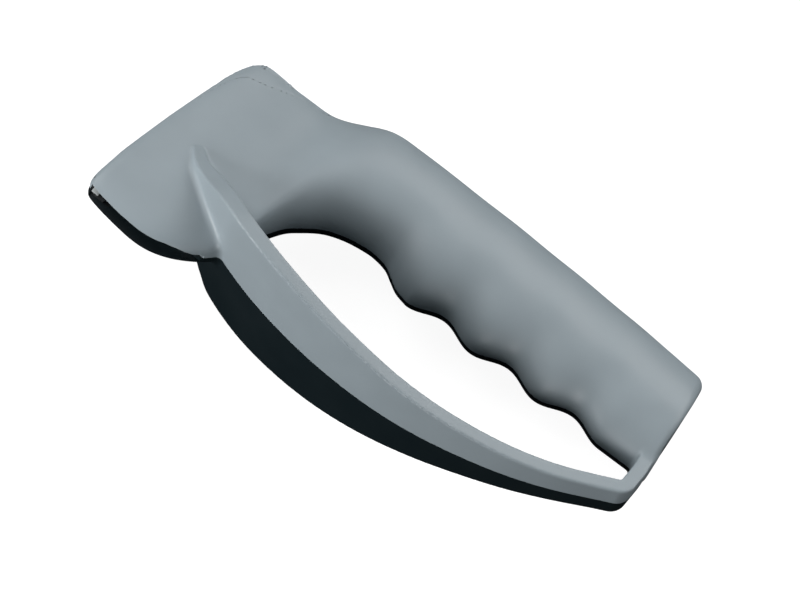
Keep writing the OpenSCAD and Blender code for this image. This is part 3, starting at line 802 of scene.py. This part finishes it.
# Softboxes: name, way out from the object in the design frame, width, distance, watts
LAMPS = [("softbox_spine", (0.0, 0.707, 0.707), 0.8, 1.1, 5.1),
         ("softbox_tail", (0.5, 0.5, 0.707), 0.8, 1.1, 5.0),
         ("softbox_nose", (-0.707, 0.0, 0.707), 0.8, 1.1, 4.7),
         ("strip_low_left", (-0.703, -0.703, 0.105), 0.4, 1.1, 8.2),
         ("strip_low_front", (0.253, -0.945, 0.208), 0.35, 1.1, 4.2)]
# The floor's radius in metres, the room's level, and how the lens sees the paper: lit part and glow
FLOOR_R, ROOM_LEVEL, PAPER_LIT, PAPER_GLOW = 3.0, 0.01, 0.3, 0.93


def paper(name, tone):
    """Matt paper that gives back a dark grey to the object. The lens sees it white, with the
    object's own soft shadow."""
    material, tree, place = new_surface(name)
    ray = add(tree, "ShaderNodeLightPath").outputs
    fibre = add(tree, "ShaderNodeTexNoise", values={"Scale": 1 / (0.8 * MM), "Detail": 2.0},
                links={"Vector": place})
    skin = add(tree, "ShaderNodeBump", values={"Strength": 0.1, "Distance": 0.02 * MM},
               links={"Height": fibre.outputs[0]})
    plain = add(tree, "ShaderNodeBsdfDiffuse", values={"Color": tone}, links={"Normal": skin.outputs[0]})
    lit = add(tree, "ShaderNodeBsdfDiffuse", values={"Color": (PAPER_LIT, PAPER_LIT, PAPER_LIT, 1)},
              links={"Normal": skin.outputs[0]})
    white = add(tree, "ShaderNodeEmission", values={"Color": (1, 1, 1, 1), "Strength": PAPER_GLOW})
    shown = add(tree, "ShaderNodeAddShader", links={0: lit.outputs[0], 1: white.outputs[0]})
    seen = add(tree, "ShaderNodeMath", {"operation": "MAXIMUM"},
               links={0: ray["Is Camera Ray"], 1: ray["Is Transmission Ray"]})
    shader = add(tree, "ShaderNodeMixShader",
                 links={0: seen.outputs[0], 1: plain.outputs[0], 2: shown.outputs[0]})
    add(tree, "ShaderNodeOutputMaterial", links={"Surface": shader.outputs[0]})
    return material


def surroundings(name, level):
    """An even grey room that the lens sees as white."""
    world = bpy.data.worlds.new(name)
    world.use_nodes = True
    tree = world.node_tree
    tree.nodes.clear()
    ray = add(tree, "ShaderNodeLightPath").outputs
    room = add(tree, "ShaderNodeBackground", values={"Color": (1, 1, 1, 1), "Strength": level})
    white = add(tree, "ShaderNodeBackground", values={"Color": (1, 1, 1, 1), "Strength": 1.0})
    clear = add(tree, "ShaderNodeMath", {"operation": "MAXIMUM"},
                links={0: ray["Is Camera Ray"], 1: ray["Is Transmission Ray"]})
    shader = add(tree, "ShaderNodeMixShader",
                 links={0: clear.outputs[0], 1: room.outputs[0], 2: white.outputs[0]})
    add(tree, "ShaderNodeOutputWorld", links={"Surface": shader.outputs[0]})
    return world


# Screws
def screw_body(name, shank, recess):
    """One pan head screw along Z without its thread: the head below zero, the core above."""
    head_r, core_r = SCREW_HEAD_D / 2, SCREW_D / 2 - settings().screws.depth / MM
    profile = [(AXIS_R, -SCREW_HEAD_H)]
    for a in range(0, 91, 15):
        s, c = math.sin(math.radians(a)), math.cos(math.radians(a))
        profile.append((head_r - HEAD_ROUND * (1 - s), -SCREW_HEAD_H + HEAD_ROUND * (1 - c)))
    profile += [(head_r, -HEAD_ARRIS), (head_r - HEAD_ARRIS, 0), (core_r, 0), (core_r, shank - SCREW_TIP),
                (core_r * 0.5, shank), (AXIS_R, shank)]
    screw = lathe(name, profile, (0, 0, 0), 40)
    for turn in (0, 90):
        m = Matrix.Translation((0, 0, -SCREW_HEAD_H)) @ Matrix.Rotation(math.radians(turn), 4, "Z")
        slot = block("recess", (-SCREW_D / 2, -recess / 2, -RECESS_ABOVE),
                     (SCREW_D / 2, recess / 2, recess), m)
        combine(screw, slot, "DIFFERENCE")
    return screw


def screw_tree():
    """Winds a thread on a screw body, sets one screw on each point, and turns each as it stopped."""
    tree = bpy.data.node_groups.new("screws_in_bosses", "GeometryNodeTree")
    for label, kind in (("Points", "NodeSocketGeometry"), ("Body", "NodeSocketObject"),
                        ("Core Radius", "NodeSocketFloat"), ("Thread Depth", "NodeSocketFloat"),
                        ("Thread Pitch", "NodeSocketFloat"), ("Thread Length", "NodeSocketFloat"),
                        ("Thread Start", "NodeSocketFloat"), ("Seed", "NodeSocketInt"),
                        ("Material", "NodeSocketMaterial")):
        tree.interface.new_socket(label, in_out="INPUT", socket_type=kind)
    tree.interface.new_socket("Screws", in_out="OUTPUT", socket_type="NodeSocketGeometry")
    given = add(tree, "NodeGroupInput").outputs
    turns = add(tree, "ShaderNodeMath", {"operation": "DIVIDE"},
                links={0: given["Thread Length"], 1: given["Thread Pitch"]})
    path = add(tree, "GeometryNodeCurveSpiral", values={"Resolution": 24},
               links={"Rotations": turns.outputs[0], "Start Radius": given["Core Radius"],
                      "End Radius": given["Core Radius"], "Height": given["Thread Length"]})
    edge = add(tree, "GeometryNodeCurvePrimitiveCircle", values={"Resolution": 3},
               links={"Radius": given["Thread Depth"]})
    thread = add(tree, "GeometryNodeCurveToMesh", values={"Fill Caps": True},
                 links={"Curve": path.outputs[0], "Profile Curve": edge.outputs[0]})
    start = add(tree, "ShaderNodeCombineXYZ", links={"Z": given["Thread Start"]})
    raised = add(tree, "GeometryNodeTransform",
                 links={"Geometry": thread.outputs[0], "Translation": start.outputs[0]})
    body = add(tree, "GeometryNodeObjectInfo", links={"Object": given["Body"]})
    screw = add(tree, "GeometryNodeJoinGeometry", links={0: [body.outputs["Geometry"], raised.outputs[0]]})
    turned = add(tree, "FunctionNodeRandomValue", {"data_type": "FLOAT_VECTOR"},
                 {0: (0, 0, 0), 1: (0, 0, 2 * math.pi)}, {"Seed": given["Seed"]})
    placed = add(tree, "GeometryNodeInstanceOnPoints",
                 links={"Points": given["Points"], "Instance": screw.outputs[0],
                        "Rotation": turned.outputs[0]})
    real = add(tree, "GeometryNodeRealizeInstances", links={0: placed.outputs[0]})
    coated = add(tree, "GeometryNodeSetMaterial",
                 links={"Geometry": real.outputs[0], "Material": given["Material"]})
    add(tree, "NodeGroupOutput", links={0: coated.outputs[0]})
    return tree


def screw_set(name, node, shares, seat, grip, material):
    """All screws of one kind as one mesh, in place of the frame's node."""
    own = settings().screws
    depth = own.depth / MM
    body = screw_body(name + "_body", seat + grip, own.recess / MM)
    points = mesh_object(name, [(s[0] * OVERALL_L, s[1] * HANDLE_H, -seat) for s in shares], [])
    step = points.modifiers.new("screws", "NODES")
    step.node_group = screw_tree()
    given = {"Body": body, "Core Radius": SCREW_D / 2 - depth, "Thread Depth": depth,
             "Thread Pitch": own.pitch / MM, "Thread Length": grip + THREAD_LEAD - SCREW_TIP,
             "Thread Start": seat - THREAD_LEAD, "Seed": own.seed, "Material": material}
    for item in step.node_group.interface.items_tree:
        if item.in_out == "INPUT" and item.name in given:
            step[item.identifier] = given[item.name]
    baked(points)
    drop(body)
    settle(points, name)
    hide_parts(node)


# Operators
class SHARPENER_OT_shells(bpy.types.Operator):
    """Moulds the front and rear half shells, each with its half of the finger guard"""
    bl_idname = "sharpener.shells"
    bl_label = "Half shells"

    def execute(self, context):
        own, finishes = settings().shells, settings().finishes
        skin = shell_skin(own.fillet / MM, own.step / MM, own.seam / MM)
        cavity = cavity_skin()
        # Moulded ABS, spark-eroded mould: satin, with a wide soft highlight. The real grain is
        # under 0.1 mm and is drawn coarser, so that it shows at all
        grey = moulded_plastic("satin_moulded_abs_blue_grey", finishes.grey, 0.44, finishes.grain, 0.006 * MM,
                               {"IOR": 1.54, "Specular IOR Level": 0.45})
        # The same plastic with carbon black: nearly all of what it shows is its gloss
        black = moulded_plastic("satin_moulded_abs_black", finishes.black, 0.42, finishes.grain, 0.006 * MM,
                                {"IOR": 1.54, "Specular IOR Level": 0.35})
        for node, side, slot, material in (("front_shell", 1, "grey_plastic", grey),
                                           ("rear_shell", -1, "black_plastic", black)):
            half = finish_shell(skin, cavity, side, node + "_moulding")
            settle(half, node + "_moulding")
            dress(half, material)
            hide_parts(node)
        drop(skin)
        drop(cavity)
        return {"FINISHED"}


class SHARPENER_OT_blades(bpy.types.Operator):
    """Grinds the two hard metal bars and finishes the holder, the clamp plate and its screw"""
    bl_idname = "sharpener.blades"
    bl_label = "Bars and holder"

    def execute(self, context):
        finishes = settings().finishes
        # Tungsten carbide, ground with a coarse wheel: pores and lines make it dull and pale
        ground = worked_metal("ground_tungsten_carbide", finishes.bars, 0.5, (900, 9000, 9000), 0.002 * MM,
                              0.2)
        # Nylon with glass fibre: dry and dull
        nylon = moulded_plastic("glass_filled_nylon_black", finishes.holder, 0.6, 0.4 * MM, 0.01 * MM,
                                {"IOR": 1.53, "Specular IOR Level": 0.4})
        # Stainless strip, cold rolled: long faint lines
        rolled = worked_metal("cold_rolled_stainless", finishes.plate, 0.3, (6000, 600, 6000), 0.002 * MM)
        zinc = zinc_plating("blue_zinc_plating")
        for node, side in (("front_carbide", 1), ("rear_carbide", -1)):
            bar = ground_bar(node + "_bar", side)
            settle(bar, node + "_bar", sharp=20)
            dress(bar, ground)
            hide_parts(node)
        for node, material in (("blade_holder", nylon), ("clamp_plate", rolled), ("clamp_screw", zinc)):
            dress(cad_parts[node], material)
        return {"FINISHED"}


class SHARPENER_OT_screws(bpy.types.Operator):
    """Drives the screws that hold the two halves together, from the rear side"""
    bl_idname = "sharpener.screws"
    bl_label = "Shell screws"

    def execute(self, context):
        zinc = zinc_plating("zinc_plated_screw_steel")
        screw_set("handle_screw_set", "handle_screws", HANDLE_SCREWS, HANDLE_SEAT, HANDLE_GRIP, zinc)
        screw_set("head_screw_set", "head_screws", HEAD_SCREWS, HEAD_SEAT, HEAD_GRIP, zinc)
        return {"FINISHED"}


class SHARPENER_OT_studio(bpy.types.Operator):
    """Lays the floor and sets the world, the lamps and the camera"""
    bl_idname = "sharpener.studio"
    bl_label = "Floor, light and camera"

    def execute(self, context):
        own = settings().studio
        middle = LAID @ Vector(LOOK_AT)
        floor = mesh_object("floor", [(FLOOR_R * math.cos(a), FLOOR_R * math.sin(a), 0)
                                      for a in np.linspace(0, 2 * math.pi, 64, endpoint=False)],
                            [tuple(range(64))])
        dress(floor, paper("matt_white_paper", own.floor))
        context.scene.world = surroundings("studio_room", ROOM_LEVEL * own.light)
        for name, way, size, far, power in LAMPS:
            lamp = bpy.data.lights.new(name, "AREA")
            lamp.shape = "DISK"
            lamp.size = size
            lamp.energy = power * own.light
            placed = bpy.data.objects.new(name, lamp)
            context.scene.collection.objects.link(placed)
            out = laid_direction(way).normalized()
            turn = out.to_track_quat("Z", "Y").to_matrix().to_4x4()
            placed.matrix_world = Matrix.Translation(middle + far * out) @ turn
        lens = bpy.data.cameras.new("camera")
        lens.sensor_width = 36
        lens.lens = own.lens
        lens.clip_start, lens.clip_end = 0.05, 20
        camera = bpy.data.objects.new("camera", lens)
        context.scene.collection.objects.link(camera)
        right, down, back = (laid_direction(v).normalized() for v in (VIEW_RIGHT, VIEW_DOWN, VIEW_BACK))
        turn = Matrix((right, -down, back)).transposed()
        camera.matrix_world = Matrix.Translation(middle + own.distance * back) @ turn.to_4x4()
        context.scene.camera = camera
        context.scene.view_settings.view_transform = "Standard"
        return {"FINISHED"}


class SHARPENER_PT_build(bpy.types.Panel):
    """Lists the pieces of the sharpener and what can be set"""
    bl_idname = "SHARPENER_PT_build"
    bl_label = "Knife sharpener"
    bl_space_type = "VIEW_3D"
    bl_region_type = "UI"
    bl_category = "Sharpener"

    def draw(self, context):
        for operator in OPERATORS:
            self.layout.operator(operator.bl_idname)
        for label in ("shells", "screws", "finishes", "studio"):
            box = self.layout.box()
            box.label(text=label.capitalize())
            group = getattr(context.scene.sharpener, label)
            for name in group.__annotations__:
                box.prop(group, name)


OPERATORS = (SHARPENER_OT_shells, SHARPENER_OT_blades, SHARPENER_OT_screws, SHARPENER_OT_studio)
CLASSES = (ShellSizes, ScrewSizes, Finishes, Studio, SharpenerSettings) + OPERATORS + (SHARPENER_PT_build,)


def register():
    for kind in CLASSES:
        bpy.utils.register_class(kind)
    bpy.types.Scene.sharpener = PointerProperty(type=SharpenerSettings)


def unregister():
    del bpy.types.Scene.sharpener
    for kind in reversed(CLASSES):
        bpy.utils.unregister_class(kind)


def main():
    register()
    bpy.ops.sharpener.shells()
    bpy.ops.sharpener.blades()
    bpy.ops.sharpener.screws()
    bpy.ops.sharpener.studio()


if __name__ == "__main__":
    main()
